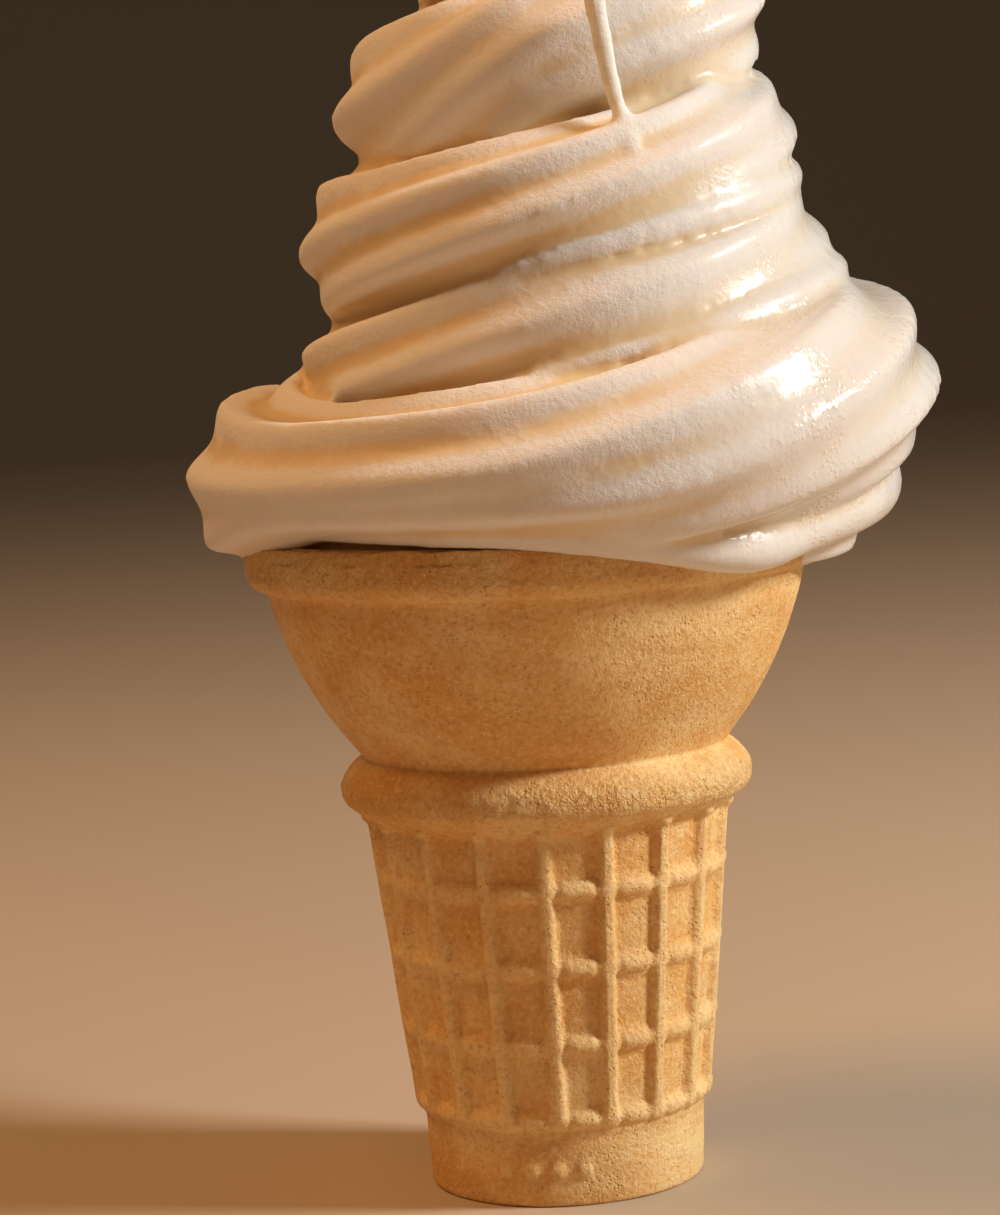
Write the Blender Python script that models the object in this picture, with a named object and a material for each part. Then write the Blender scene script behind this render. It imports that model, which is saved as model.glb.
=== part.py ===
"""Soft serve in a flat-bottomed wafer cone.

Two solids: the wafer cone, a hollow moulded cup with a waffle-ribbed stem, a stacking collar and a
flared bowl, and the soft serve that fills it. The soft serve is piped as one fluted rope that climbs
in rising turns, leans over the rim and closes in a thin tip that flops forward and hangs down.
Metres, +Z up. The origin is the centre of the cone's flat underside, and the front is -Y.
"""

import math

import bmesh
import bpy
from mathutils import Vector

MM = 0.001
MESH_GAP = 0.3 * MM

# Wafer cone: heights and outer radii from the underside up.
FOOT_EDGE = 0.6 * MM
FOOT_RADIUS = 17.1 * MM
FOOT_TOP_RADIUS = 17.5 * MM
FOOT_HEIGHT = 8.6 * MM
STEM_BOTTOM, STEM_TOP = 12.5 * MM, 46.6 * MM
STEM_BOTTOM_RADIUS, STEM_TOP_RADIUS = 18.15 * MM, 22.0 * MM
RELIEF = 0.5 * MM
FIRST_RING, RING_PITCH, RING_COUNT = 10.7 * MM, 9.55 * MM, 4
RING_HALF_WIDTH = 1.5 * MM
RIB_COUNT = 18
RIB_HALF_ANGLE = math.radians(4.2)
RIB_TURN = math.radians(-2.5)
COLLAR_RADIUS, COLLAR_HEIGHT = 25.7 * MM, 51.0 * MM
NECK_RADIUS, NECK_HEIGHT = 22.7 * MM, 54.0 * MM
RIM_RADIUS, RIM_HEIGHT = 36.0 * MM, 82.0 * MM
LIP_BOTTOM = 76.2 * MM
BOWL = ((26.8 * MM, 60.0 * MM), (30.1 * MM, 66.0 * MM), (32.3 * MM, 72.0 * MM))
WALL = 2.3 * MM
FLOOR = 3.0 * MM

# The rope's centre line: turns made, distance from the coil's axis, height and half thickness, in
# millimetres. A whole turn is a pass of the right side, a half turn one of the left.
ROPE_PASSES = (
    (-0.13, 27.0, 82.0, 5.0),
    (0.05, 33.0, 83.0, 8.3),
    (0.50, 33.8, 88.4, 11.8),
    (0.75, 33.5, 92.3, 11.6),
    (1.00, 35.0, 98.8, 13.0),
    (1.50, 20.7, 101.5, 10.3),
    (2.00, 24.6, 114.3, 11.0),
    (2.50, 19.6, 116.4, 10.6),
    (3.00, 21.8, 128.3, 9.6),
    (3.50, 12.8, 133.2, 13.2),
    (3.75, 9.0, 140.0, 11.3),
    (4.00, 17.0, 143.5, 11.0),
    (4.50, 8.5, 153.0, 9.2),
    (5.00, 5.5, 160.5, 6.3),
    (5.50, 1.5, 166.5, 2.6),
)
# Every turn sits this much lower at the front and higher at the back.
FORWARD_LEAN = 2.0 * MM
COIL_SHIFT_LOW, COIL_SHIFT_HIGH = 3.0 * MM, 5.5 * MM
SHIFT_START, SHIFT_END = 115 * MM, 160 * MM
FLUTE_COUNT = 8
FLUTE_DEPTH = 0.17
FLUTE_EASE = 0.72
# How far the flutes have turned about the rope, in degrees, against the turns made.
FLUTE_TURNS = (
    (-0.13, -15),
    (0.38, 10),
    (0.50, 10),
    (0.62, 7),
    (0.75, 12),
    (1.00, 92),
    (1.58, 165),
    (2.00, 232),
    (2.75, 358),
    (3.00, 410),
    (3.50, 494),
    (3.60, 507),
    (3.76, 556),
    (5.50, 850),
)
# How far the section reaches below and above its middle, as shares of the half thickness. It lifts
# off the rim at the front left and heaps up where a turn passes the left side.
SQUASH = (
    (-0.13, 1.0, 1.0),
    (0.28, 1.0, 1.0),
    (0.42, 1.0, 1.30),
    (0.50, 1.04, 1.16),
    (0.60, 0.50, 0.92),
    (0.67, 0.50, 0.95),
    (0.74, 0.66, 1.0),
    (0.80, 0.92, 1.0),
    (0.90, 1.0, 1.0),
    (1.50, 1.0, 0.95),
    (2.25, 1.0, 1.0),
    (2.45, 0.95, 1.22),
    (2.62, 0.95, 1.0),
    (5.50, 1.0, 1.0),
)
# The share of the flutes' depth that is left where the cream has melted.
MELTED = (
    (-0.13, 1.0),
    (0.75, 1.0),
    (0.86, 0.55),
    (1.00, 1.0),
    (1.66, 1.0),
    (1.80, 0.45),
    (1.98, 0.9),
    (2.80, 0.9),
    (2.92, 0.6),
    (3.05, 0.9),
    (3.46, 0.9),
    (3.64, 0.5),
    (3.80, 0.6),
    (4.00, 1.0),
    (5.50, 1.0),
)
SECTIONS_PER_TURN = 48
POINTS_PER_FLUTE = 8

# The core closes the coil's middle: height and radius, in millimetres.
CORE = (
    (80, 30),
    (87, 29.5),
    (93, 28.5),
    (99, 27.3),
    (104, 25),
    (110, 23),
    (118, 21),
    (126, 18),
    (134, 13),
    (145, 9),
    (156, 4),
)
# The tip's tail, a thread that tapers: x, y, z and radius, in millimetres.
TAIL = (
    (5.5, 0.5, 166.0, 3.2),
    (6.0, -4.5, 170.0, 2.9),
    (7.0, -11.0, 168.2, 2.4),
    (8.4, -16.5, 160.5, 2.0),
    (9.8, -20.2, 151.0, 1.6),
    (10.7, -22.4, 142.5, 1.3),
    (12.1, -22.8, 133.5, 1.1),
    (14.0, -26.0, 126.0, 0.8),
)
# Cream that has run over the lip: turns round the rim, then height, reach and half thickness, in
# millimetres.
LIP_RUNS = (
    (0.58, 83.8, 32.6, 0.6),
    (0.66, 83.6, 33.6, 1.1),
    (0.74, 83.4, 35.0, 1.8),
    (0.80, 82.0, 36.0, 2.4),
    (0.865, 79.9, 36.6, 3.1),
    (0.91, 81.8, 37.6, 3.6),
    (0.96, 84.2, 39.6, 4.8),
    (1.02, 85.6, 40.8, 5.5),
    (1.08, 86.5, 38.4, 5.0),
)
VOXEL = 1.0 * MM
KEEP_SHARE = 0.048


def clear_scene():
    for leftover in list(bpy.data.objects):
        bpy.data.objects.remove(leftover, do_unlink=True)


def food_material(name, colour, roughness):
    material = bpy.data.materials.new(name)
    material.use_nodes = True
    surface = material.node_tree.nodes["Principled BSDF"]
    surface.inputs["Base Color"].default_value = (*colour, 1.0)
    surface.inputs["Roughness"].default_value = roughness
    surface.inputs["Metallic"].default_value = 0.0
    return material


def blend(rows, at):
    """The values of rows at this place, on a smooth curve through them. A row is (place, values...)."""
    last = len(rows) - 1
    i = max(k for k in range(last) if rows[k][0] <= at or k == 0)
    before, start, end, after = rows[max(i - 1, 0)], rows[i], rows[i + 1], rows[min(i + 2, last)]
    span = end[0] - start[0]
    s = min(max((at - start[0]) / span, 0.0), 1.0)
    values = []
    for column in range(1, len(start)):
        slope_in = (end[column] - before[column]) / (end[0] - before[0]) * span
        slope_out = (after[column] - start[column]) / (after[0] - start[0]) * span
        values.append(
            (2 * s**3 - 3 * s**2 + 1) * start[column]
            + (s**3 - 2 * s**2 + s) * slope_in
            + (3 * s**2 - 2 * s**3) * end[column]
            + (s**3 - s**2) * slope_out
        )
    return values


def skin(shape, loops):
    """Closes a row of equal point loops into one solid, with a fan at each end."""
    rings = [[shape.verts.new(point) for point in loop] for loop in loops]
    count = len(rings[0])
    for low, high in zip(rings, rings[1:]):
        for k in range(count):
            following = (k + 1) % count
            shape.faces.new((low[k], low[following], high[following], high[k]))
    for ring in (rings[0], rings[-1]):
        shape.faces.new(ring)


def add_object(name, shape, material=None):
    bmesh.ops.recalc_face_normals(shape, faces=shape.faces)
    mesh = bpy.data.meshes.new(name)
    shape.to_mesh(mesh)
    shape.free()
    mesh.shade_smooth()
    mesh.set_sharp_from_angle(angle=math.radians(40))
    if material:
        mesh.materials.append(material)
    placed = bpy.data.objects.new(name, mesh)
    bpy.context.scene.collection.objects.link(placed)
    return placed


# --- wafer cone ---------------------------------------------------------------------------------


def stem_radius(height):
    share = (height - STEM_BOTTOM) / (STEM_TOP - STEM_BOTTOM)
    return STEM_BOTTOM_RADIUS + share * (STEM_TOP_RADIUS - STEM_BOTTOM_RADIUS)


def outer_profile():
    """(radius, height, rib share) from the underside to the top of the lip."""
    first_top = FIRST_RING + RING_HALF_WIDTH
    points = [
        (FOOT_RADIUS - FOOT_EDGE, 0.0, 0),
        (FOOT_RADIUS, FOOT_EDGE, 0),
        (FOOT_TOP_RADIUS, FOOT_HEIGHT, 0),
        (stem_radius(FIRST_RING) + RELIEF, FIRST_RING - 0.9 * MM, 0),
        (stem_radius(FIRST_RING) + RELIEF, FIRST_RING + 0.8 * MM, 0),
        (stem_radius(first_top), first_top, 1),
    ]
    for ring in range(1, RING_COUNT):
        middle = FIRST_RING + ring * RING_PITCH
        for offset, proud in ((-RING_HALF_WIDTH, 0), (0.0, RELIEF), (RING_HALF_WIDTH, 0)):
            height = middle + offset
            points.append((stem_radius(height) + proud, height, 0 if proud else 1))
    points += [
        (STEM_TOP_RADIUS, STEM_TOP, 1),
        (COLLAR_RADIUS - 1.9 * MM, COLLAR_HEIGHT - 3.4 * MM, 0),
        (COLLAR_RADIUS - 0.3 * MM, COLLAR_HEIGHT - 1.6 * MM, 0),
        (COLLAR_RADIUS, COLLAR_HEIGHT, 0),
        (COLLAR_RADIUS - 0.8 * MM, COLLAR_HEIGHT + 1.7 * MM, 0),
        (NECK_RADIUS, NECK_HEIGHT, 0),
        *((radius, height, 0) for radius, height in BOWL),
        (33.5 * MM, LIP_BOTTOM, 0),
        (RIM_RADIUS - 0.6 * MM, LIP_BOTTOM + 1.3 * MM, 0),
        (RIM_RADIUS, RIM_HEIGHT - 2.4 * MM, 0),
        (RIM_RADIUS - 0.4 * MM, RIM_HEIGHT - 0.7 * MM, 0),
        (RIM_RADIUS - 1.3 * MM, RIM_HEIGHT, 0),
    ]
    return points


def inner_profile():
    """(radius, height) from the top of the lip down to the edge of the floor."""
    (low_radius, low_height), _, (high_radius, high_height) = BOWL
    return [
        (RIM_RADIUS - 2.9 * MM, RIM_HEIGHT),
        (RIM_RADIUS - 3.6 * MM, RIM_HEIGHT - 1.4 * MM),
        (high_radius - WALL, high_height + 0.5 * MM),
        (low_radius - WALL, low_height + 0.5 * MM),
        (NECK_RADIUS - 1.1 * WALL, NECK_HEIGHT + 0.8 * MM),
        (STEM_TOP_RADIUS - WALL, STEM_TOP),
        (FOOT_RADIUS - WALL, FLOOR + 1.5 * MM),
        (FOOT_RADIUS - WALL - 1.2 * MM, FLOOR),
    ]


def rib_columns():
    """(angle, how far the rib stands out there) for each point of a ring."""
    columns = []
    for rib in range(RIB_COUNT):
        middle = RIB_TURN - math.pi / 2 + rib * 2 * math.pi / RIB_COUNT
        columns += [(middle - RIB_HALF_ANGLE, 0.0), (middle, RELIEF), (middle + RIB_HALF_ANGLE, 0.0)]
    return columns


def turned_loops(profile):
    """One loop of points for each (radius, height, rib share) of the profile."""
    return [
        [
            Vector(((r + share * proud) * math.cos(a), (r + share * proud) * math.sin(a), z))
            for a, proud in rib_columns()
        ]
        for r, z, share in profile
    ]


def build_wafer_cone():
    shape = bmesh.new()
    hollow = [(r, z, 0) for r, z in inner_profile()]
    skin(shape, turned_loops(outer_profile() + hollow))
    return add_object("wafer_cone", shape, food_material("wafer", (0.62, 0.36, 0.13), 0.75))


def build_clearance():
    """The cone's body grown by the mesh gap and run down past its floor: it trims the soft serve."""
    outside = [(r + MESH_GAP, z, 0) for r, z, _ in outer_profile() if z > COLLAR_HEIGHT]
    outside[-1] = (outside[-1][0], outside[-1][1] + MESH_GAP, 0)
    inside = [(r - MESH_GAP, z, 0) for r, z in inner_profile()]
    inside[0] = (inside[0][0], inside[0][1] + MESH_GAP, 0)
    inside[-1] = (inside[-1][0], FLOOR + MESH_GAP, 0)
    below = [(FOOT_RADIUS, -5 * MM, 0)]
    shape = bmesh.new()
    skin(shape, turned_loops(below + outside + inside))
    cutter = add_object("cone_clearance", shape)
    cutter.hide_render = True
    cutter.display_type = "WIRE"
    return cutter


# --- soft serve ---------------------------------------------------------------------------------


def coil_shift(height):
    """The coil's axis stands right of the cone's, more so towards the tip."""
    share = min(max((height - SHIFT_START) / (SHIFT_END - SHIFT_START), 0.0), 1.0)
    return COIL_SHIFT_LOW + share * (COIL_SHIFT_HIGH - COIL_SHIFT_LOW)


def around(turns, reach, height):
    angle = 2 * math.pi * turns
    return Vector((coil_shift(height) + reach * math.cos(angle), reach * math.sin(angle), height))


def on_rim(turns, height, reach):
    """A point round the rim, from turns and millimetres."""
    angle = 2 * math.pi * turns
    return Vector((reach * math.cos(angle), reach * math.sin(angle), height)) * MM


def rope_loops():
    """The fluted sections of the rope, each in the upright plane through the coil's axis."""
    first, last = ROPE_PASSES[0][0], ROPE_PASSES[-1][0]
    steps = round((last - first) * SECTIONS_PER_TURN)
    points = FLUTE_COUNT * POINTS_PER_FLUTE
    loops = []
    for step in range(steps + 1):
        turns = first + (last - first) * step / steps
        reach, height, thickness = (value * MM for value in blend(ROPE_PASSES, turns))
        height += FORWARD_LEAN * math.sin(2 * math.pi * turns)
        turned = math.radians(blend(FLUTE_TURNS, turns)[0])
        below, above = blend(SQUASH, turns)
        depth = FLUTE_DEPTH * blend(MELTED, turns)[0]
        loop = []
        for k in range(points):
            angle = 2 * math.pi * k / points
            flute = (0.5 - 0.5 * math.cos(FLUTE_COUNT * (angle - turned))) ** FLUTE_EASE
            press, calm = (above, 1.0) if math.sin(angle) > 0 else (below, below)
            radius = thickness * (1 - depth * calm * flute)
            place = around(turns, reach + radius * math.cos(angle), height)
            place.z += press * radius * math.sin(angle)
            loop.append(place)
        loops.append(loop)
    return loops


def tube_loops(rows, place, sides=12, steps=6):
    """Round sections along a smooth curve. A row's last value is the radius, place() sets its middle."""
    numbered = [(k, *values) for k, values in enumerate(rows)]
    count = (len(rows) - 1) * steps
    fine = [blend(numbered, k / steps) for k in range(count + 1)]
    middles = [place(*values[:-1]) for values in fine]
    loops = []
    for i, (middle, values) in enumerate(zip(middles, fine)):
        ahead = middles[min(i + 1, count)] - middles[max(i - 1, 0)]
        side = ahead.cross(Vector((0, 0, 1))).normalized()
        up = side.cross(ahead).normalized()
        radius = values[-1] * MM
        turn = (2 * math.pi * k / sides for k in range(sides))
        loops.append([middle + radius * (math.cos(a) * side + math.sin(a) * up) for a in turn])
    return loops


def build_plug():
    """What fills the cup, reaching into the middle of the wall, where the clearance trims it."""
    shape = bmesh.new()
    profile = [(r + WALL / 3, z, 0) for r, z in reversed(inner_profile()[2:])]
    profile[0] = (profile[0][0], FLOOR - 1 * MM, 0)
    skin(shape, turned_loops(profile + [(RIM_RADIUS - 6 * MM, RIM_HEIGHT + 4.5 * MM, 0)]))
    plug = add_object("cup_filling", shape)
    plug.hide_render = True
    plug.display_type = "WIRE"
    return plug


def build_soft_serve(clearance, plug):
    shape = bmesh.new()
    skin(shape, rope_loops())
    turn = [k / 48 for k in range(48)]
    skin(shape, [[around(t, radius * MM, height * MM) for t in turn] for height, radius in CORE])
    skin(shape, tube_loops(TAIL, lambda x, y, z: Vector((x, y, z)) * MM))
    skin(shape, tube_loops(LIP_RUNS, on_rim))
    cream = add_object("soft_serve", shape, food_material("cream", (0.87, 0.78, 0.64), 0.4))

    fuse = cream.modifiers.new("fuse", "REMESH")
    fuse.mode = "VOXEL"
    fuse.voxel_size = VOXEL
    fuse.use_smooth_shade = True
    melt = cream.modifiers.new("melt", "SMOOTH")
    melt.factor = 0.5
    melt.iterations = 2
    lighten = cream.modifiers.new("lighten", "DECIMATE")
    lighten.ratio = KEEP_SHARE
    for label, operation, other in (
        ("fill the cup", "UNION", plug),
        ("clear the cone", "DIFFERENCE", clearance),
    ):
        step = cream.modifiers.new(label, "BOOLEAN")
        step.operation = operation
        step.solver = "EXACT"
        step.object = other
    return cream


clear_scene()
build_wafer_cone()
build_soft_serve(build_clearance(), build_plug())
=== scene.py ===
"""Looks of a soft serve in a wafer cup cone: fine meshes, food finishes, studio and camera.

The fine wafer and the fine swirl are built from a few named sizes and take the place of the
model's two faceted solids.
"""

import logging
import math
from dataclasses import dataclass, field
from enum import Enum
from functools import cached_property
from typing import Callable, Sequence

import bmesh
import bpy
import numpy as np
from mathutils import Matrix, Vector, noise

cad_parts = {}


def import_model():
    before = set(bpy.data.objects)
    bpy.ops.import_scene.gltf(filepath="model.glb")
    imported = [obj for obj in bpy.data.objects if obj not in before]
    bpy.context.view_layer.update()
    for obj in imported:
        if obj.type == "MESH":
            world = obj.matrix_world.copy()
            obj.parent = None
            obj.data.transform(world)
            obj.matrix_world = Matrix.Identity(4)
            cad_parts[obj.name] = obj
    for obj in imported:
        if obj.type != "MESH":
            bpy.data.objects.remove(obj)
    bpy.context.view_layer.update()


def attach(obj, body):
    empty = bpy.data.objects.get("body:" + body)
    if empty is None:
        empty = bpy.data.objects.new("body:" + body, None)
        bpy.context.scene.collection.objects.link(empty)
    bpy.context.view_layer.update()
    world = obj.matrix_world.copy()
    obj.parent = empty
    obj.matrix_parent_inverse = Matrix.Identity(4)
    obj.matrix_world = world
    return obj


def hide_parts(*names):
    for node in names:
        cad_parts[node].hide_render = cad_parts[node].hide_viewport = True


MM = 0.001
UP = Vector((0.0, 0.0, 1.0))
LOG = logging.getLogger("soft_serve_cone")

Rows = Sequence[tuple[float, ...]]
Colour = tuple[float, float, float]


# --- shader expressions ---------------------------------------------------------------------------


class Value:
    """One socket of a material's nodes, on which Python's operators add Math nodes."""

    def __init__(self, shader: "Shader", socket: bpy.types.NodeSocket) -> None:
        """Wraps a socket.

        Args:
            shader: The material's node builder.
            socket: The output socket.
        """
        self.shader = shader
        self.socket = socket

    def _math(self, operation: str, first: "Value | float", second: "Value | float") -> "Value":
        """Adds a Math node.

        Args:
            operation: The Math node's operation.
            first: Its first value.
            second: Its second value.

        Returns:
            The node's result.
        """
        return self.shader.node("ShaderNodeMath", {"operation": operation}, {0: first, 1: second})

    def __add__(self, other: "Value | float") -> "Value":
        """Sum."""
        return self._math("ADD", self, other)

    __radd__ = __add__

    def __mul__(self, other: "Value | float") -> "Value":
        """Product."""
        return self._math("MULTIPLY", self, other)

    __rmul__ = __mul__

    def __sub__(self, other: "Value | float") -> "Value":
        """Difference."""
        return self._math("SUBTRACT", self, other)

    def __rsub__(self, other: "Value | float") -> "Value":
        """Difference, from a number."""
        return self._math("SUBTRACT", other, self)

    def between(self, low: float, high: float) -> "Value":
        """A soft step from 0 at low to 1 at high.

        Args:
            low: Where the step starts. It may lie above high, for a falling step.
            high: Where it ends.

        Returns:
            The stepped value, from 0 to 1.
        """
        settings = {"interpolation_type": "SMOOTHSTEP", "clamp": True}
        if low <= high:
            return self.shader.node("ShaderNodeMapRange", settings, {0: self, 1: low, 2: high})
        return 1.0 - self.shader.node("ShaderNodeMapRange", settings, {0: self, 1: high, 2: low})


class Shader:
    """Builds one material from expressions."""

    def __init__(self, name: str) -> None:
        """Starts a material.

        Args:
            name: The material's name.
        """
        self.material = bpy.data.materials.new(name)
        self.material.use_nodes = True
        self.tree = self.material.node_tree
        self.surface = self.tree.nodes["Principled BSDF"]
        coordinates = self.tree.nodes.new("ShaderNodeTexCoord")
        self.place = Value(self, coordinates.outputs["Object"])

    def node(self, kind: str, settings: dict, inputs: dict, output: int | str = 0) -> Value:
        """Adds any node.

        Args:
            kind: The node's type.
            settings: Its properties, set first.
            inputs: Values or links by socket name or number.
            output: Which output to return.

        Returns:
            The chosen output.
        """
        made = self.tree.nodes.new(kind)
        for key, value in settings.items():
            setattr(made, key, value)
        for key, value in inputs.items():
            if isinstance(value, Value):
                self.tree.links.new(value.socket, made.inputs[key])
            else:
                made.inputs[key].default_value = value
        return Value(self, made.outputs[output])

    def attribute(self, name: str) -> Value:
        """The value of a mesh attribute of this name."""
        return self.node("ShaderNodeAttribute", {"attribute_name": name}, {}, "Fac")

    def noise(
        self,
        size: float,
        detail: float = 2.0,
        rough: float = 0.5,
        place: Value | None = None,
    ) -> Value:
        """Cloudy noise.

        Args:
            size: The size of its larger features, in the place's units.
            detail: How many finer layers it adds.
            rough: How strong those are.
            place: Where it is read, or None for the object's own coordinates.

        Returns:
            The noise, about 0 to 1.
        """
        inputs = {
            "Vector": place or self.place,
            "Scale": 1.0 / size,
            "Detail": detail,
            "Roughness": rough,
        }
        return self.node("ShaderNodeTexNoise", {}, inputs)

    def cells(self, size: float) -> Value:
        """Distance to the nearest of many scattered points.

        Args:
            size: Their spacing, in metres.

        Returns:
            The distance, about 0 to 1.
        """
        inputs = {"Vector": self.place, "Scale": 1.0 / size}
        return self.node("ShaderNodeTexVoronoi", {"feature": "F1"}, inputs)

    def stretched(self, scale: tuple[float, float, float]) -> Value:
        """The object's coordinates, multiplied along each axis."""
        return self.node("ShaderNodeMapping", {}, {"Vector": self.place, "Scale": scale})

    def blend(self, factor: Value | float, first: Value | Colour, second: Value | Colour) -> Value:
        """Mixes two colours.

        Args:
            factor: How much of the second, from 0 to 1.
            first: A colour.
            second: A colour.

        Returns:
            The mixed colour.
        """
        one, two = (c if isinstance(c, Value) else (*c, 1.0) for c in (first, second))
        return self.node("ShaderNodeMix", {"data_type": "RGBA"}, {0: factor, 6: one, 7: two}, 2)

    def bump(self, height: Value, depth: float, below: Value | None = None) -> Value:
        """Relief in the surface.

        Args:
            height: The relief, from 0 to 1.
            depth: How deep it is, in metres.
            below: A normal that it is laid over.

        Returns:
            The bumped normal.
        """
        inputs = {"Height": height, "Distance": depth, "Strength": 1.0}
        if below:
            inputs["Normal"] = below
        return self.node("ShaderNodeBump", {}, inputs)

    def dress(self, links: dict[str, Value], constants: dict[str, object]) -> bpy.types.Material:
        """Finishes the surface.

        Args:
            links: What varies, by socket name.
            constants: What doesn't.

        Returns:
            The material.
        """
        for key, value in constants.items():
            self.surface.inputs[key].default_value = value
        for key, value in links.items():
            self.tree.links.new(value.socket, self.surface.inputs[key])
        return self.material


# --- finishes -------------------------------------------------------------------------------------


@dataclass(frozen=True)
class WaferFinish:
    """Baked wafer: golden tan, matt, finely pitted, with painted highlight making the raised ribs and
    rings paler.
    """

    crust: Colour = (0.84, 0.47, 0.14)
    pale: Colour = (0.95, 0.68, 0.31)
    toasted: Colour = (0.58, 0.23, 0.04)
    flour: Colour = (0.98, 0.78, 0.46)
    cloud_size: float = 11 * MM
    grain_size: float = 0.7 * MM
    pit_size: float = 0.60 * MM
    pit_patch_size: float = 3.0 * MM
    crumb_size: float = 0.8 * MM
    flow_scale: tuple[float, float, float] = (90.0, 90.0, 260.0)
    flow_depth: float = 0.05 * MM
    crumb_depth: float = 0.80 * MM
    pit_depth: float = 0.34 * MM
    scatter_share: float = 0.06
    scatter_radius: Colour = (1.0, 0.50, 0.18)
    scatter_depth: float = 1.2 * MM

    def material(self) -> bpy.types.Material:
        """Crust clouded with paler wafer, painted highlight that makes the ribs and rings paler, floury
        and toasted specks, flow marks, crumbs and pits.

        Returns:
            The finished material.
        """
        shader = Shader("baked_wafer")
        relief = shader.attribute("relief")
        coarse = shader.attribute("crumb")
        clouds = shader.noise(self.cloud_size, 3.0, 0.55)
        grain = shader.noise(self.grain_size, 4.0, 0.7)
        flow = shader.noise(1.0, place=shader.stretched(self.flow_scale)).between(0.40, 0.60)
        pits = shader.cells(self.pit_size).between(0.40, 0.10)
        pits = pits * shader.noise(self.pit_patch_size, 2.0, 0.6).between(0.46, 0.66)
        colour = shader.blend(clouds.between(0.32, 0.70), self.crust, self.pale)
        # Painted highlight: the raised ribs and rings are blended towards the pale colour.
        colour = shader.blend(relief * 0.75, colour, self.pale)
        colour = shader.blend(flow * 0.16, colour, self.toasted)
        colour = shader.blend(grain.between(0.50, 0.36) * 0.38, colour, self.toasted)
        colour = shader.blend(grain.between(0.53, 0.66) * 0.50, colour, self.flour)
        colour = shader.blend(pits * 0.35, colour, self.toasted)
        crumbs = shader.noise(self.crumb_size, 3.0, 0.7) * coarse
        normal = shader.bump(flow, self.flow_depth)
        normal = shader.bump(crumbs, self.crumb_depth, normal)
        normal = shader.bump(grain * 0.75 - pits * 0.35, self.pit_depth, normal)
        return shader.dress(
            {"Base Color": colour, "Roughness": grain * 0.25 + 0.55, "Normal": normal},
            {
                "Subsurface Weight": self.scatter_share,
                "Subsurface Radius": self.scatter_radius,
                "Subsurface Scale": self.scatter_depth,
            },
        )


@dataclass(frozen=True)
class CreamFinish:
    """Soft serve: warm white, painted shade in the creases, frosted crests that are partly painted
    highlight, wet where it melts.
    """

    white: Colour = (0.82, 0.785, 0.74)
    milk: Colour = (0.81, 0.735, 0.63)
    # Frosted white of the dry crests, partly painted highlight.
    frost_and_highlight: Colour = (0.89, 0.87, 0.83)
    # Painted shade: the warm yellow laid into the creases.
    painted_crease_shade: Colour = (0.81, 0.62, 0.35)
    patch_size: float = 6 * MM
    swell_size: float = 3.2 * MM
    frost_size: float = 0.75 * MM
    bead_size: float = 0.7 * MM
    skin_size: float = 0.25 * MM
    swell_depth: float = 0.16 * MM
    frost_depth: float = 0.20 * MM
    skin_depth: float = 0.015 * MM
    scatter_share: float = 0.4
    scatter_radius: Colour = (1.0, 0.60, 0.28)
    scatter_depth: float = 2.6 * MM

    def material(self) -> bpy.types.Material:
        """Milk in soft patches, painted shade in the creases, grainy frosted dry crests that are partly
        painted highlight, and a thin wet coat.

        Returns:
            The finished material.
        """
        shader = Shader("soft_serve_cream")
        crest = shader.attribute("crest")
        wet = shader.attribute("wet")
        dry = 1.0 - wet
        patches = shader.noise(self.patch_size, 3.0, 0.6)
        # Frosted crests: real frost, and partly painted highlight where the crests stand out on the
        # shaded left side.
        frost_and_highlight_mask = (crest * 0.85 + patches * 0.9 - 0.28).between(0.32, 0.72) * dry
        grain = shader.noise(self.frost_size, 4.0, 0.75)
        beads = shader.cells(self.bead_size).between(0.55, 0.05) * patches.between(0.45, 0.62)
        # Painted shade mask: the creases, found from the crest attribute.
        painted_crease_shade_mask = (1.0 - crest).between(0.40, 0.80)
        colour = shader.blend(patches.between(0.35, 0.70) * 0.35, self.white, self.milk)
        # Painted shade in the creases, stronger on the dry left side, where the shade falls.
        colour = shader.blend(painted_crease_shade_mask * (dry * 0.60 + 0.35), colour, self.painted_crease_shade)
        # Frosted white on the crests, partly painted highlight.
        colour = shader.blend(frost_and_highlight_mask * (grain * 0.8 + 0.15), colour, self.frost_and_highlight)
        normal = shader.bump(shader.noise(self.swell_size), self.swell_depth)
        normal = shader.bump(beads * wet * 0.35 + grain * frost_and_highlight_mask, self.frost_depth, normal)
        normal = shader.bump(shader.noise(self.skin_size, 2.0, 0.6), self.skin_depth, normal)
        rough = 0.29 + frost_and_highlight_mask * 0.42 + dry * 0.12 - wet * 0.08
        return shader.dress(
            {"Base Color": colour, "Roughness": rough, "Normal": normal, "Coat Weight": wet * 0.25},
            {
                "Subsurface Weight": self.scatter_share,
                "Subsurface Radius": self.scatter_radius,
                "Subsurface Scale": self.scatter_depth,
                "IOR": 1.38,
                "Coat Roughness": 0.10,
            },
        )


@dataclass(frozen=True)
class StageFinish:
    """Plain pale floor."""

    colour: Colour = (0.53, 0.43, 0.32)
    cloud: Colour = (0.48, 0.385, 0.285)
    cloud_size: float = 0.5

    def material(self) -> bpy.types.Material:
        """One even colour, faintly clouded.

        Returns:
            The finished material.
        """
        shader = Shader("studio_floor")
        colour = shader.blend(shader.noise(self.cloud_size) * 0.08, self.colour, self.cloud)
        return shader.dress({"Base Color": colour}, {"Roughness": 0.8})


# --- shared mesh work -----------------------------------------------------------------------------


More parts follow.
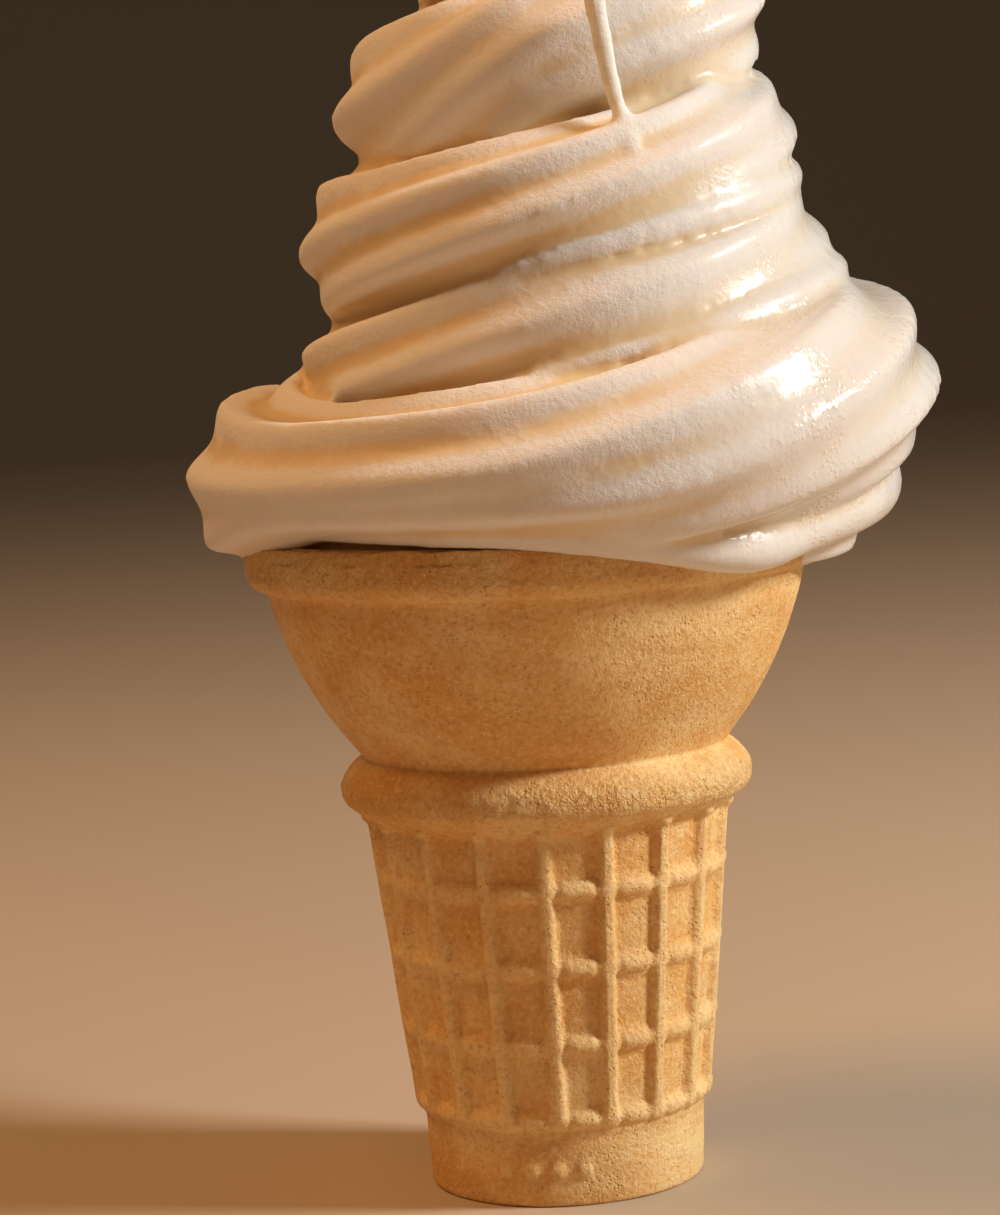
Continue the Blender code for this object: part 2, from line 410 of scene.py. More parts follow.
def along_rows(rows: Rows, at: float) -> list[float]:
    """Values on a smooth curve through rows.

    Args:
        rows: (place, values...) in rising places.
        at: The place asked for.

    Returns:
        The values there.
    """
    last = len(rows) - 1
    i = max(k for k in range(last) if rows[k][0] <= at or k == 0)
    before, start, end, after = rows[max(i - 1, 0)], rows[i], rows[i + 1], rows[min(i + 2, last)]
    span = end[0] - start[0]
    s = min(max((at - start[0]) / span, 0.0), 1.0)
    values = []
    for column in range(1, len(start)):
        slope_in = (end[column] - before[column]) / (end[0] - before[0]) * span
        slope_out = (after[column] - start[column]) / (after[0] - start[0]) * span
        values.append(
            (2 * s**3 - 3 * s**2 + 1) * start[column]
            + (s**3 - 2 * s**2 + s) * slope_in
            + (3 * s**2 - 2 * s**3) * end[column]
            + (s**3 - s**2) * slope_out
        )
    return values


def soft_step(value: float, low: float, high: float) -> float:
    """0 at low, 1 at high and smooth between. low may lie above high."""
    s = min(max((value - low) / (high - low), 0.0), 1.0)
    return s * s * (3.0 - 2.0 * s)


def loft(shape: bmesh.types.BMesh, sections: Sequence[Sequence[Vector]]) -> None:
    """Adds a closed tube through sections of equal length, by extruding a circle from one to the next.

    Args:
        shape: The mesh that gains the tube.
        sections: Each section's points, in order round the tube.
    """
    count = len(sections[0])
    ring = bmesh.ops.create_circle(shape, cap_ends=True, segments=count, radius=1.0)["verts"]
    for vertex, point in zip(ring, sections[0]):
        vertex.co = point
    order = {vertex: k for k, vertex in enumerate(ring)}
    edges = [edge for edge in shape.edges if all(vertex in order for vertex in edge.verts)]
    for section in sections[1:]:
        made = bmesh.ops.extrude_edge_only(shape, edges=edges)["geom"]
        vertices = [item for item in made if isinstance(item, bmesh.types.BMVert)]
        edges = [item for item in made if isinstance(item, bmesh.types.BMEdge)]
        following = {}
        for vertex in vertices:
            beside = (edge.other_vert(vertex) for edge in vertex.link_edges)
            place = next(order[other] for other in beside if other in order)
            following[vertex] = place
            vertex.co = section[place]
        order = following
    bmesh.ops.contextual_create(shape, geom=edges)


def mesh_object(name: str, shape: bmesh.types.BMesh) -> bpy.types.Object:
    """A smooth-shaded object from a bmesh, with its normals facing out.

    Args:
        name: The object's name.
        shape: The mesh, freed here.

    Returns:
        The object, linked to the scene.
    """
    bmesh.ops.recalc_face_normals(shape, faces=shape.faces)
    mesh = bpy.data.meshes.new(name)
    shape.to_mesh(mesh)
    shape.free()
    mesh.shade_smooth()
    placed = bpy.data.objects.new(name, mesh)
    bpy.context.scene.collection.objects.link(placed)
    return placed


def vertex_rows(mesh: bpy.types.Mesh, what: str) -> np.ndarray:
    """Reads a vector of every vertex.

    Args:
        mesh: The mesh.
        what: The vertex property, "co" or "normal".

    Returns:
        One row for each vertex.
    """
    flat = np.empty(len(mesh.vertices) * 3, np.float32)
    mesh.vertices.foreach_get(what, flat)
    return flat.reshape(-1, 3).astype(np.float64)


def store(mesh: bpy.types.Mesh, name: str, values: Sequence[float]) -> None:
    """Writes one number for each vertex as a mesh attribute of this name."""
    attribute = mesh.attributes.new(name, "FLOAT", "POINT")
    attribute.data.foreach_set("value", np.asarray(values, np.float32))


# --- wafer cone -----------------------------------------------------------------------------------


@dataclass(frozen=True)
class Unevenness:
    """Noise that moves a baked surface."""

    per_metre: float
    depth: float

    def at(self, place: Vector) -> float:
        """How far it moves the surface at a place, in metres."""
        return self.depth * noise.noise(place * self.per_metre)


@dataclass
class WaferCone:
    """The moulded wafer cup, from its flat foot to its lip."""

    foot_radius: float = 17.1 * MM
    foot_top_radius: float = 17.5 * MM
    foot_height: float = 8.8 * MM
    # Radius and height near the stem's two ends.
    stem_low: tuple[float, float] = (18.15 * MM, 12.5 * MM)
    stem_high: tuple[float, float] = (22.0 * MM, 46.6 * MM)
    first_ring: float = 10.7 * MM
    ring_pitch: float = 9.55 * MM
    ring_count: int = 4
    rib_count: int = 18
    rib_turn: float = math.radians(-2.5)
    rib_half_width: float = 1.0 * MM
    ring_half_width: float = 1.28 * MM
    relief: float = 1.05 * MM
    panel_sink: float = 0.35 * MM
    collar_radius: float = 25.7 * MM
    collar_height: float = 51.0 * MM
    neck_radius: float = 22.7 * MM
    neck_height: float = 54.0 * MM
    rim_radius: float = 36.0 * MM
    rim_height: float = 82.0 * MM
    rim_band: float = 1.6 * MM
    lip_bottom: float = 76.2 * MM
    # Height and radius.
    bowl: Rows = (
        (54.4 * MM, 22.7 * MM),
        (60.0 * MM, 26.8 * MM),
        (66.0 * MM, 30.1 * MM),
        (72.0 * MM, 32.4 * MM),
        (75.7 * MM, 33.3 * MM),
    )
    bowl_step: float = 1.2 * MM
    wall: float = 2.3 * MM
    floor: float = 3.0 * MM
    # Along the foot from its front, to the right.
    pip_places: tuple[float, ...] = (-7.6 * MM, -4.4 * MM, -1.2 * MM, 2.0 * MM)
    pip_height: float = 4.6 * MM
    # Of a pip's top and of its edge.
    pip_radii: tuple[float, float] = (0.6 * MM, 1.25 * MM)
    pip_relief: float = 0.42 * MM
    least_crumb: float = 0.16
    wobble: Unevenness = Unevenness(110.0, 0.12 * MM)
    ripple: Unevenness = Unevenness(420.0, 0.20 * MM)
    fine_ripple: Unevenness = Unevenness(900.0, 0.10 * MM)
    lip_streak: Unevenness = Unevenness(620.0, 0.22 * MM)
    rim_wave: Unevenness = Unevenness(160.0, 0.45 * MM)
    rim_chip: Unevenness = Unevenness(520.0, 0.25 * MM)
    columns: int = 360
    fine_step: float = 0.62 * MM
    coarse_step: float = 3.5 * MM
    finish: WaferFinish = field(default_factory=WaferFinish)

    def stem_radius(self, height: float) -> float:
        """The stem's radius at a height, without its relief."""
        (low_r, low_z), (high_r, high_z) = self.stem_low, self.stem_high
        return low_r + (height - low_z) / (high_z - low_z) * (high_r - low_r)

    @cached_property
    def outside(self) -> list[tuple[float, float, float]]:
        """The outside's corners, from the underside to the lip.

        Returns:
            (radius, height, rounding) of each.
        """
        collar, height = self.collar_radius, self.collar_height
        lip, top = self.rim_radius, self.rim_height
        bowl_low, bowl_high = self.bowl[0][0], self.bowl[-1][0]
        steps = round((bowl_high - bowl_low) / self.bowl_step)
        heights = [bowl_low + (bowl_high - bowl_low) * k / steps for k in range(steps + 1)]
        return [
            (self.foot_radius, 0.0, 0.45 * MM),
            (self.foot_top_radius, self.foot_height - 0.3 * MM, 0.4 * MM),
            (self.stem_radius(self.first_ring), self.foot_height + 0.7 * MM, 0.4 * MM),
            (self.stem_high[0], self.stem_high[1] - 0.4 * MM, 0.5 * MM),
            (collar - 2.3 * MM, height - 3.7 * MM, 0.55 * MM),
            (collar, height - 1.8 * MM, 0.9 * MM),
            (collar - 0.1 * MM, height + 0.6 * MM, 0.9 * MM),
            (collar - 1.3 * MM, height + 2.2 * MM, 0.8 * MM),
            *((along_rows(self.bowl, z)[0], z, 0.0) for z in heights),
            (lip - 1.1 * MM, self.lip_bottom + 0.1 * MM, 0.3 * MM),
            (lip - 0.2 * MM, self.lip_bottom + 1.5 * MM, 0.5 * MM),
            (lip, top - 1.4 * MM, 0.6 * MM),
            (lip - 0.7 * MM, top, 0.5 * MM),
        ]

    @cached_property
    def inside(self) -> list[tuple[float, float, float]]:
        """The inside's corners, from the lip to the floor.

        Returns:
            (radius, height, rounding) of each.
        """
        top = self.rim_height
        return [
            (self.rim_radius - 3.0 * MM, top, 0.5 * MM),
            (self.rim_radius - 3.6 * MM, top - self.rim_band, 0.4 * MM),
            (32.3 * MM - self.wall, 72.5 * MM, 0.8 * MM),
            (26.8 * MM - self.wall, 60.5 * MM, 0.8 * MM),
            (self.neck_radius - 1.1 * self.wall, self.neck_height + 0.8 * MM, 0.8 * MM),
            (self.stem_high[0] - self.wall, self.stem_high[1], 0.8 * MM),
            (self.foot_radius - self.wall, self.floor, 0.8 * MM),
        ]

    def chain(self, shape: bmesh.types.BMesh) -> None:
        """Lays the profile as a chain of edges in the XZ plane, rounds its corners and divides it finely.

        Args:
            shape: An empty mesh that gains the chain.
        """
        corners = [(0.0, 0.0, 0.0), *self.outside, *self.inside, (0.0, self.floor, 0.0)]
        points = [shape.verts.new((radius, 0.0, height)) for radius, height, _ in corners]
        for a, b in zip(points, points[1:]):
            shape.edges.new((a, b))
        for rounding in sorted({corner[2] for corner in corners} - {0.0}):
            bmesh.ops.bevel(
                shape,
                geom=[point for point, corner in zip(points, corners) if corner[2] == rounding],
                offset=rounding,
                offset_type="OFFSET",
                segments=4,
                profile=0.5,
                affect="VERTICES",
                material=-1,
            )
        for edge in list(shape.edges):
            middle = (edge.verts[0].co + edge.verts[1].co) / 2
            step = self.coarse_step if self.is_hidden(middle.x, middle.z) else self.fine_step
            cuts = math.ceil(edge.calc_length() / step) - 1
            if cuts > 0:
                bmesh.ops.subdivide_edges(shape, edges=[edge], cuts=cuts)

    def is_hidden(self, radius: float, height: float) -> bool:
        """Whether a point of the profile is on the inside or the underside, where nothing fine shows."""
        radii, heights, _ = zip(*self.outside)
        return height < 0.05 * MM or radius < np.interp(height, heights, radii) - 1.2 * MM

    def waffle(self, angle: float, height: float, radius: float) -> float:
        """How far ribs and rings stand out at a place of the stem, from 0 to 1.

        Args:
            angle: Round the cone, in radians.
            height: Above the underside.
            radius: Of the stem there.

        Returns:
            The share of the full relief.
        """
        pitch = 2 * math.pi / self.rib_count
        turn = (angle + math.pi / 2 - self.rib_turn) / pitch
        across = abs(turn - round(turn)) * pitch * radius
        rib = soft_step(across, self.rib_half_width * 1.25, self.rib_half_width * 0.5)
        nearest = round((height - self.first_ring) / self.ring_pitch)
        nearest = min(max(nearest, 0), self.ring_count - 1)
        along = abs(height - self.first_ring - nearest * self.ring_pitch)
        ring = soft_step(along, self.ring_half_width * 1.3, self.ring_half_width * 0.3)
        notch = math.exp(-(((across - self.rib_half_width * 1.35) / (0.45 * MM)) ** 2))
        ring *= 1.0 - 0.32 * notch
        above = soft_step(height, self.foot_height + 0.4 * MM, self.first_ring - 0.4 * MM)
        rib *= above * soft_step(height, self.stem_end, self.stem_high[1] - 0.2 * MM)
        return max(rib, ring * above)

    def pips(self, angle: float, height: float) -> float:
        """A plain row of raised round pips on the foot.

        Args:
            angle: Round the cone, in radians.
            height: Above the underside.

        Returns:
            How far they stand out, from 0 to 1.
        """
        across = (angle + math.pi / 2) * self.foot_radius
        top, edge = self.pip_radii
        away = (math.hypot(across - place, height - self.pip_height) for place in self.pip_places)
        return soft_step(min(away), edge, top)

    @property
    def stem_end(self) -> float:
        """The height at which the stem's pattern has faded out."""
        return self.stem_high[1] + 0.9 * MM

    def moulding(self, angle: float, height: float, radius: float) -> tuple[float, float]:
        """What the mould pressed into the turned shape.

        Args:
            angle: Round the cone, in radians.
            height: Above the underside.
            radius: Of the turned shape there.

        Returns:
            How far the surface stands out, and its share of the full relief.
        """
        if self.foot_height < height < self.stem_end and radius < self.stem_high[0] + 1.2 * MM:
            share = self.waffle(angle, height, radius)
            foot_fade = soft_step(height, self.foot_height, self.first_ring - 0.4 * MM)
            top_fade = soft_step(height, self.stem_end, self.stem_high[1] - 0.6 * MM)
            return share * self.relief - self.panel_sink * foot_fade * top_fade, share
        if height <= self.foot_height:
            share = self.pips(angle, height)
            return share * self.pip_relief, share
        return 0.0, 0.0

    def shape_point(self, point: Vector) -> tuple[Vector, float, float]:
        """Moves a plain turned point to where the moulded surface is.

        Args:
            point: A point of the turned profile.

        Returns:
            The place, the share of relief there and how crumbly the surface is.
        """
        radius, height = math.hypot(point.x, point.y), point.z
        if self.is_hidden(radius, height) or radius < 5 * MM:
            return point, 0.0, 0.0
        angle = math.atan2(point.y, point.x)
        if angle > math.pi / 2:
            angle -= 2 * math.pi
        out, share = self.moulding(angle, height, radius)
        collar = math.exp(-(((height - self.collar_height + 0.4 * MM) / (2.4 * MM)) ** 2))
        lip = soft_step(height, self.lip_bottom - 0.5 * MM, self.lip_bottom + 1.5 * MM)
        crumb = max(collar, 0.9 * lip, self.least_crumb)
        out += self.wobble.at(point) + crumb * (self.ripple.at(point) + self.fine_ripple.at(point))
        out += lip * self.lip_streak.at(Vector((point.x, point.y, 0.25 * point.z)))
        flat = Vector((point.x, point.y, 0.0))
        moved = flat.normalized() * (radius + out)
        moved.z = height
        if height > self.rim_height - self.rim_band:
            moved.z += self.rim_wave.at(flat) + self.rim_chip.at(flat) - 0.15 * MM
        return moved, share, crumb

    def build(self) -> bpy.types.Object:
        """Spins the profile, moulds every point and dresses the wafer.

        Returns:
            The finished piece.
        """
        shape = bmesh.new()
        self.chain(shape)
        bmesh.ops.spin(
            shape,
            geom=shape.verts[:] + shape.edges[:],
            cent=(0.0, 0.0, 0.0),
            axis=(0.0, 0.0, 1.0),
            angle=2 * math.pi,
            steps=self.columns,
            use_merge=True,
        )
        bmesh.ops.remove_doubles(shape, verts=shape.verts, dist=0.002 * MM)
        placed = mesh_object("fine_wafer", shape)
        mesh = placed.data
        shaped = [self.shape_point(vertex.co) for vertex in mesh.vertices]
        mesh.vertices.foreach_set("co", [c for moved, _, _ in shaped for c in moved])
        store(mesh, "relief", [share for _, share, _ in shaped])
        store(mesh, "crumb", [crumb for _, _, crumb in shaped])
        mesh.update()
        mesh.materials.append(self.finish.material())
        return placed


# --- soft serve -----------------------------------------------------------------------------------


@dataclass
class SoftServe:
    """The piped swirl, its cream over the lip and its hanging tip. Rows are in millimetres."""

    # Turns made, distance from the coil's axis, height and half thickness.
    passes: Rows = (
        (-0.13, 27.0, 82.0, 5.0),
        (0.05, 33.0, 83.0, 8.3),
        (0.50, 33.8, 88.4, 11.8),
        (0.75, 33.5, 92.3, 11.6),
        (1.00, 35.0, 98.8, 13.0),
        (1.50, 20.7, 101.5, 10.3),
        (2.00, 24.6, 114.3, 11.0),
        (2.50, 19.6, 116.4, 10.6),
        (3.00, 21.8, 128.3, 9.6),
        (3.50, 12.8, 133.2, 13.2),
        (3.75, 9.0, 140.0, 11.3),
        (4.00, 17.0, 143.5, 11.0),
        (4.50, 8.5, 153.0, 9.2),
        (5.00, 5.5, 160.5, 6.3),
        (5.50, 1.5, 166.5, 2.6),
    )
    forward_lean: float = 2.0 * MM
    shift: tuple[float, float] = (3.0 * MM, 5.5 * MM)
    shift_span: tuple[float, float] = (115 * MM, 160 * MM)
    flutes: int = 8
    flute_depth: float = 0.19
    flute_ease: float = 0.72
    flute_play: float = 0.45
    # Turns made, and how much of the fluting has not melted.
    melted: Rows = (
        (-0.13, 1.0),
        (0.75, 1.0),
        (0.86, 0.55),
        (1.00, 1.0),
        (1.66, 1.0),
        (1.80, 0.45),
        (1.98, 0.9),
        (2.80, 0.9),
        (2.92, 0.6),
        (3.05, 0.9),
        (3.46, 0.9),
        (3.64, 0.5),
        (3.80, 0.6),
        (4.00, 1.0),
        (5.50, 1.0),
    )
    # Turns made, and degrees by which the fluting has turned.
    flute_turns: Rows = (
        (-0.13, -15),
        (0.38, 10),
        (0.50, 10),
        (0.62, 7),
        (0.75, 12),
        (1.00, 92),
        (1.58, 165),
        (2.00, 232),
        (2.75, 358),
        (3.00, 410),
        (3.50, 494),
        (3.60, 507),
        (3.76, 556),
        (5.50, 850),
    )
    # Turns made, and how full the rope's lower and upper halves are.
    squash: Rows = (
        (-0.13, 1.0, 1.0),
        (0.28, 1.0, 1.0),
        (0.42, 1.0, 1.30),
        (0.50, 1.04, 1.16),
        (0.60, 0.50, 0.92),
        (0.67, 0.50, 0.95),
        (0.74, 0.66, 1.0),
        (0.80, 0.92, 1.0),
        (0.90, 1.0, 1.0),
        (1.50, 1.0, 0.95),
        (2.25, 1.0, 1.0),
        (2.45, 0.95, 1.22),
        (2.62, 0.95, 1.0),
        (5.50, 1.0, 1.0),
    )
    # Height and radius.
    core: Rows = (
        (70, 31.5),
        (80, 31),
        (87, 29.8),
        (93, 28.5),
        (99, 27.3),
        (104, 25),
        (110, 23),
        (118, 21),
        (126, 18),
        (134, 13),
        (145, 9),
        (156, 4),
    )
    # Place along X, Y and Z, and half thickness.
    tail: Rows = (
        (5.5, 0.5, 166.0, 3.2),
        (6.0, -4.5, 170.0, 2.9),
        (7.0, -11.0, 168.2, 2.4),
        (8.4, -16.5, 160.5, 2.0),
        (9.8, -20.2, 151.0, 1.6),
        (10.7, -22.4, 142.5, 1.3),
        (12.1, -22.8, 133.5, 1.1),
        (14.0, -26.0, 126.0, 0.8),
    )
    # Turns round the cup's axis, height, distance from that axis and half thickness.
    lip_runs: Rows = (
        (0.58, 83.8, 32.6, 0.6),
        (0.66, 83.6, 33.6, 1.1),
        (0.74, 83.4, 35.0, 1.8),
        (0.80, 82.0, 36.0, 2.4),
        (0.865, 79.9, 36.6, 3.1),
        (0.91, 81.8, 37.6, 3.6),
        (0.96, 84.2, 39.6, 4.8),
        (1.02, 85.6, 40.8, 5.5),
        (1.08, 86.5, 38.4, 5.0),
    )
    # Turns made, and half thickness of the cream that has run into the crease above them.
    low_seam: Rows = ((0.74, 0.3), (0.82, 1.3), (0.92, 2.2), (1.00, 2.0), (1.08, 0.4))
    high_seam: Rows = ((1.72, 0.3), (1.80, 1.3), (1.90, 2.2), (1.98, 1.8), (2.06, 0.4))
    sections_per_turn: int = 96
    points_per_flute: int = 12
    core_sides: int = 64
    thread_sides: int = 16
    thread_steps: int = 10
    voxel: float = 0.68 * MM
    melt_rounds: int = 4
    crest_rounds: int = 14
    crest_height: float = 0.8 * MM
    wet_from: float = 8 * MM
    wet_span: float = 26 * MM
    finish: CreamFinish = field(default_factory=CreamFinish)

    def around(self, turns: float, reach: float, height: float) -> Vector:
        """A point at a reach from the coil's axis, which leans right towards the tip.

        Args:
            turns: Anticlockwise from the right side.
            reach: Distance from the axis.
            height: Above the underside.

        Returns:
            The point.
        """
        low, high = self.shift_span
        share = min(max((height - low) / (high - low), 0.0), 1.0)
        angle = 2 * math.pi * turns
        middle = self.shift[0] + share * (self.shift[1] - self.shift[0])
        return Vector((middle + reach * math.cos(angle), reach * math.sin(angle), height))

    def centre(self, turns: float) -> tuple[float, float, float]:
        """The rope's distance from the coil's axis, its height and its half thickness, in metres."""
        reach, height, thickness = (value * MM for value in along_rows(self.passes, turns))
        return reach, height + self.forward_lean * math.sin(2 * math.pi * turns), thickness

    def seam_point(self, turns: float) -> Vector:
        """Where the outside of a turn meets the outside of the turn above it.

        Args:
            turns: Turns made from the right side.

        Returns:
            The bottom of the crease, taking both turns' sections as round.
        """
        reach, height, thickness = self.centre(turns)
        next_reach, next_height, next_thickness = self.centre(turns + 1)
        apart = math.hypot(next_reach - reach, next_height - height)
        inward, upward = (next_reach - reach) / apart, (next_height - height) / apart
        along = (apart**2 + thickness**2 - next_thickness**2) / (2 * apart)
        across = math.sqrt(max(thickness**2 - along**2, 0.0))
        return self.around(
            turns,
            reach + along * inward + across * upward,
            height + along * upward - across * inward,
        )

    def rope_section(self, turns: float) -> list[Vector]:
        """The fluted section of the rope, in the upright plane through the coil's axis.

        Args:
            turns: Turns made from the right side.

        Returns:
            Its points, anticlockwise from the outermost.
        """
        reach, height, thickness = self.centre(turns)
        turned = math.radians(along_rows(self.flute_turns, turns)[0])
        under, over = along_rows(self.squash, turns)
        depth = self.flute_depth * along_rows(self.melted, turns)[0]
        count = self.flutes * self.points_per_flute
        section = []
        for k in range(count):
            angle = 2 * math.pi * k / count
            flute = (0.5 - 0.5 * math.cos(self.flutes * (angle - turned))) ** self.flute_ease
            own = Vector((math.cos(angle - turned), math.sin(angle - turned), 0.8 * turns)) * 1.4
            calm = under if math.sin(angle) < 0 else 1.0
            play = 1 + self.flute_play * noise.noise(own)
            radius = thickness * (1 - depth * calm * flute * play)
            place = self.around(turns, reach + radius * math.cos(angle), height)
            rise = radius * math.sin(angle)
            place.z += rise * (over if rise > 0 else under)
            section.append(place)
        return section

    def rope(self) -> list[list[Vector]]:
        """Follows the coil from its start under the first turn to the peak.

        Returns:
            The rope's sections.
        """
        first, last = self.passes[0][0], self.passes[-1][0]
        steps = round((last - first) * self.sections_per_turn)
        return [self.rope_section(first + (last - first) * k / steps) for k in range(steps + 1)]

    def thread(self, rows: Rows, place: Callable[..., Vector]) -> list[list[Vector]]:
        """Round sections along a smooth curve.

        Args:
            rows: Place values and, last, the radius.
            place: Turns a row's place values into a point.

        Returns:
            The sections.
        """
        sides, steps = self.thread_sides, self.thread_steps
        numbered = [(k, *values) for k, values in enumerate(rows)]
        count = (len(rows) - 1) * steps
        fine = [along_rows(numbered, k / steps) for k in range(count + 1)]
        middles = [place(*values[:-1]) for values in fine]
        sections = []
        for i, (middle, values) in enumerate(zip(middles, fine)):
            ahead = middles[min(i + 1, count)] - middles[max(i - 1, 0)]
            side = ahead.cross(UP).normalized()
            lift = side.cross(ahead).normalized()
            radius = values[-1] * MM
            turn = (2 * math.pi * k / sides for k in range(sides))
            spokes = (math.cos(angle) * side + math.sin(angle) * lift for angle in turn)
            sections.append([middle + radius * spoke for spoke in spokes])
        return sections

    def core_sections(self) -> list[list[Vector]]:
        """Level rings of the cream inside the coil and the cup.

        Returns:
            The sections, from the bowl upwards.
        """
        turn = [k / self.core_sides for k in range(self.core_sides)]
        sections = []
        for height, radius in self.core:
            back = Vector((self.shift[0] * soft_step(height, 88.0, 80.0), 0.0, 0.0))
            sections.append([self.around(t, radius * MM, height * MM) - back for t in turn])
        return sections

    def fuse(self, shape: bmesh.types.BMesh) -> bpy.types.Mesh:
        """Melts overlapping tubes into one skin.

        Args:
            shape: The tubes.

        Returns:
            One closed mesh.
        """
        rough = mesh_object("rough_swirl", shape)
        remesh = rough.modifiers.new("fuse", "REMESH")
        remesh.mode = "VOXEL"
        remesh.voxel_size = self.voxel
        smooth = rough.modifiers.new("melt", "SMOOTH")
        smooth.factor = 0.5
        smooth.iterations = self.melt_rounds
        graph = bpy.context.evaluated_depsgraph_get()
        fused = bpy.data.meshes.new_from_object(rough.evaluated_get(graph))
        bpy.data.objects.remove(rough)
        return fused

    def weather(self, mesh: bpy.types.Mesh) -> None:
        """Stores where the skin is a crest or a crease, and where it has melted wet.

        Args:
            mesh: The fused swirl.
        """
        points = vertex_rows(mesh, "co")
        normals = vertex_rows(mesh, "normal")
        ends = np.empty(len(mesh.edges) * 2, np.int32)
        mesh.edges.foreach_get("vertices", ends)
        ends = ends.reshape(-1, 2)
        count = np.bincount(ends.reshape(-1), minlength=len(points))[:, None]
        smooth = points.copy()
        for _ in range(self.crest_rounds):
            total = np.zeros_like(smooth)
            np.add.at(total, ends[:, 0], smooth[ends[:, 1]])
            np.add.at(total, ends[:, 1], smooth[ends[:, 0]])
            smooth = total / count
        above = ((points - smooth) * normals).sum(1)
        crest = np.clip(0.5 + above / self.crest_height, 0.0, 1.0)
        side = np.clip((points[:, 0] - self.wet_from) / self.wet_span, 0.0, 1.0)
        store(mesh, "crest", crest)
        store(mesh, "wet", side * side * (3 - 2 * side))

    def build(self) -> bpy.types.Object:
        """Melts the coil, its core, the tip and the runs over the lip into one skin and dresses it.

        Returns:
            The finished piece.
        """
        shape = bmesh.new()
        loft(shape, self.rope())
        loft(shape, self.core_sections())
        loft(shape, self.thread(self.tail, lambda x, y, z: Vector((x, y, z)) * MM))
        loft(shape, self.thread(self.lip_runs, self.on_rim))
        for seam in (self.low_seam, self.high_seam):
            loft(shape, self.thread(seam, self.seam_point))
        mesh = self.fuse(shape)
        mesh.name = "fine_swirl"
        mesh.shade_smooth()
        self.weather(mesh)
        mesh.materials.clear()
        mesh.materials.append(self.finish.material())
        placed = bpy.data.objects.new("fine_swirl", mesh)
        bpy.context.scene.collection.objects.link(placed)
        return placed

    def on_rim(self, turns: float, height: float, reach: float) -> Vector:
        """A point round the rim, in turns and millimetres."""
        angle = 2 * math.pi * turns
        return Vector((reach * math.cos(angle), reach * math.sin(angle), height)) * MM


# --- studio ---------------------------------------------------------------------------------------


class Softness(Enum):
    """How wide a light's panel is, in metres."""

    CRISP = 0.16
    SOFT = 0.5
    WIDE = 1.1


@dataclass(frozen=True)
class Panel:
    """One square panel light, turned to the swirl."""

    name: str
    place: tuple[float, float, float]
    power: float
    size: Softness
    colour: Colour
    target: tuple[float, float, float] = (0.0, 0.0, 0.09)

    def build(self) -> None:
        """Hangs the light."""
        data = bpy.data.lights.new(self.name, "AREA")
        data.energy = self.power
        data.size = self.size.value
        data.color = self.colour
        lamp = bpy.data.objects.new(self.name, data)
        lamp.location = self.place
        ahead = Vector(self.target) - Vector(self.place)
        lamp.rotation_euler = ahead.to_track_quat("-Z", "Y").to_euler()
        bpy.context.scene.collection.objects.link(lamp)


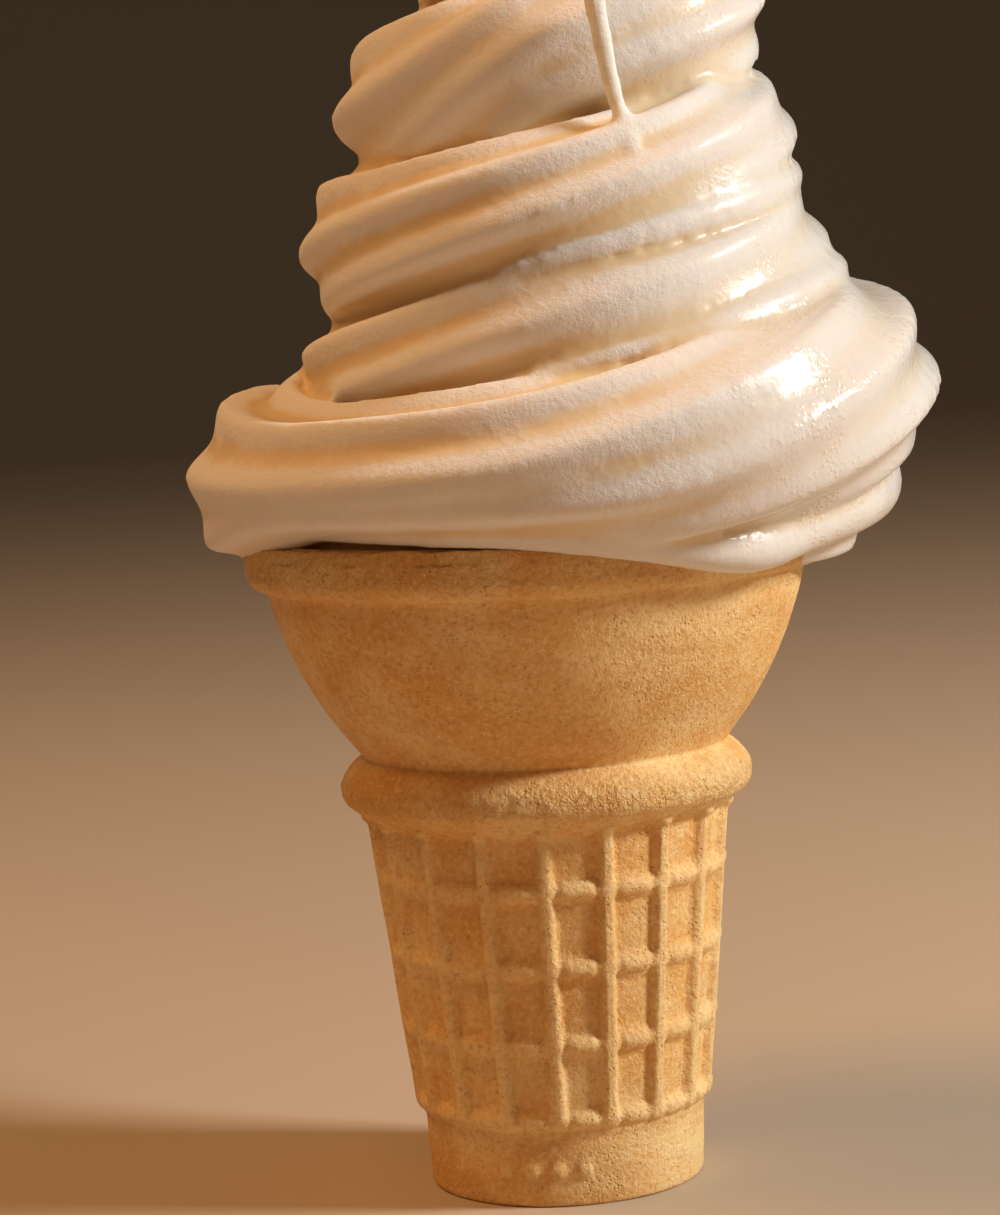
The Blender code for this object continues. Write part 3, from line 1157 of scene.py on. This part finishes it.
@dataclass
class Studio:
    """Plain floor, soft lights and the camera."""

    distance: float = 407.8 * MM
    eye_height: float = 111.2 * MM
    pitch: float = math.radians(-5.51)
    yaw: float = math.radians(-0.65)
    roll: float = math.radians(3.27)
    lens: float = 97.5
    sensor: float = 36.0
    panels: tuple[Panel, ...] = (
        Panel("key", (0.72, -0.16, 0.50), 7.3, Softness.CRISP, (1.0, 0.97, 0.92)),
        Panel("fill", (-0.05, -1.10, 0.14), 1.2, Softness.WIDE, (1.0, 0.36, 0.06)),
        Panel("top", (-0.42, -0.05, 0.90), 5.4, Softness.SOFT, (1.0, 0.52, 0.21)),
    )
    air: Colour = (1.0, 0.80, 0.60)
    air_strength: float = 0.05
    floor_reach: float = 4.0
    floor_bend: float = 1.8
    finish: StageFinish = field(default_factory=StageFinish)

    def build_camera(self) -> None:
        """The camera, pitched down a little and rolled."""
        data = bpy.data.cameras.new("camera")
        data.lens = self.lens
        data.sensor_width = self.sensor
        data.clip_start = 0.01
        level = math.cos(self.pitch)
        ahead = Vector((math.sin(self.yaw) * level, math.cos(self.yaw) * level, math.sin(self.pitch)))
        right = ahead.cross(UP).normalized()
        lift = right.cross(ahead)
        turned_right = right * math.cos(self.roll) - lift * math.sin(self.roll)
        turned_lift = right * math.sin(self.roll) + lift * math.cos(self.roll)
        pose = Matrix((turned_right, turned_lift, -ahead)).transposed().to_4x4()
        pose.translation = Vector((0.0, -self.distance, self.eye_height))
        camera = bpy.data.objects.new("camera", data)
        camera.matrix_world = pose
        bpy.context.scene.collection.objects.link(camera)
        bpy.context.scene.camera = camera

    def build_air(self) -> None:
        """The faint light from all round, and plain colours in the render."""
        world = bpy.data.worlds.new("studio")
        world.use_nodes = True
        background = world.node_tree.nodes["Background"]
        background.inputs["Color"].default_value = (*self.air, 1.0)
        background.inputs["Strength"].default_value = self.air_strength
        bpy.context.scene.world = world
        bpy.context.scene.view_settings.view_transform = "Standard"

    def build_floor(self) -> bpy.types.Object:
        """A wide floor that curves up far behind.

        Returns:
            The floor.
        """
        shape = bmesh.new()
        bmesh.ops.create_grid(shape, x_segments=1, y_segments=1, size=self.floor_reach)
        far = self.floor_reach - 0.1
        back = [edge for edge in shape.edges if all(v.co.y > far for v in edge.verts)]
        made = bmesh.ops.extrude_edge_only(shape, edges=back)["geom"]
        wall = [item for item in made if isinstance(item, bmesh.types.BMVert)]
        bmesh.ops.translate(shape, verts=wall, vec=UP * self.floor_reach)
        corner = [e for e in shape.edges if all(v.co.y > far and v.co.z < 0.1 for v in e.verts)]
        bmesh.ops.bevel(
            shape,
            geom=corner,
            offset=self.floor_bend,
            offset_type="OFFSET",
            segments=24,
            profile=0.5,
            affect="EDGES",
            material=-1,
        )
        floor = mesh_object("studio_floor", shape)
        floor.data.materials.append(self.finish.material())
        return floor

    def build(self) -> list[bpy.types.Object]:
        """The whole studio.

        Returns:
            The pieces that are stage, not object.
        """
        self.build_camera()
        for panel in self.panels:
            panel.build()
        self.build_air()
        return [self.build_floor()]


# --- assembly -------------------------------------------------------------------------------------


def main() -> None:
    """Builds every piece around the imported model."""
    logging.basicConfig(level=logging.INFO)
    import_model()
    for item in Studio().build():
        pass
    builders = (
        ("wafer cone", WaferCone(), "wafer_cone", "wafer"),
        ("soft serve", SoftServe(), "soft_serve", "cream"),
    )
    for label, builder, node, slot in builders:
        piece = builder.build()
        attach(piece, "root")
        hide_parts(node)
        LOG.info("%s: %d faces", label, len(piece.data.polygons))


if __name__ == "__main__":
    main()
